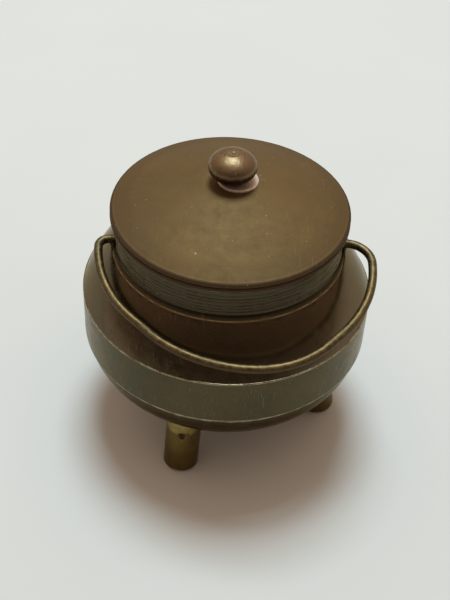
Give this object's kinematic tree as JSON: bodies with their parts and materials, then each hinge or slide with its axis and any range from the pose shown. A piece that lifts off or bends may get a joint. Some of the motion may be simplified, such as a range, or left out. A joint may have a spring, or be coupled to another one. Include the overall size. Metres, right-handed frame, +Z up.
{
  "type": "lidded tripod pot",
  "caption": "Small round turned-brass pot on splayed peg feet, with a lift-off domed lid, a ball knob and a swinging wire bail.",
  "frame": {"origin": "on the pot's own axis, in the plane that its three feet stand on", "axes": "+Z up along the pot's axis, X along the bail's pivot, and the bail lies folded down towards -Y"},
  "size_m": [0.0804, 0.0826, 0.0895],
  "materials": {
    "satin_bronze": "satin, dulled to olive brown",
    "dark_bronze": "turned, darkened to a deep brown",
    "green_patina": "turned, with a green-grey patina",
    "foot_brass": "plain turned, yellower",
    "wire_brass": "drawn wire, rubbed bright on top",
    "pink_brass": "bare, slightly pink"
  },
  "bodies": {
    "pot": {"neck_shoulder": "dark_bronze", "belly_band": "green_patina", "lower_bowl": "dark_bronze", "foot_front": "foot_brass", "foot_right": "foot_brass", "foot_rear": "foot_brass", "foot_burr_front": "foot_brass", "foot_burr_right": "foot_brass", "foot_burr_rear": "foot_brass"},
    "lid": {"lid_plate": "satin_bronze", "lid_locating_ring": "satin_bronze", "knob": "satin_bronze", "knob_collar": "pink_brass", "knob_rivet": "wire_brass", "knob_burr": "wire_brass"},
    "bail": {"bail": "wire_brass"}
  },
  "joints": [
    {"name": "lid_lift", "type": "slide", "parent": "pot", "child": "lid", "axis": [0, 0, 1], "range_m": [0, 0.04]},
    {"name": "bail_swing", "type": "hinge", "parent": "pot", "child": "bail", "pos_m": [0, 0, 0.0602], "axis": [-1, 0, 0], "range_deg": [0, 199.8]}
  ]
}
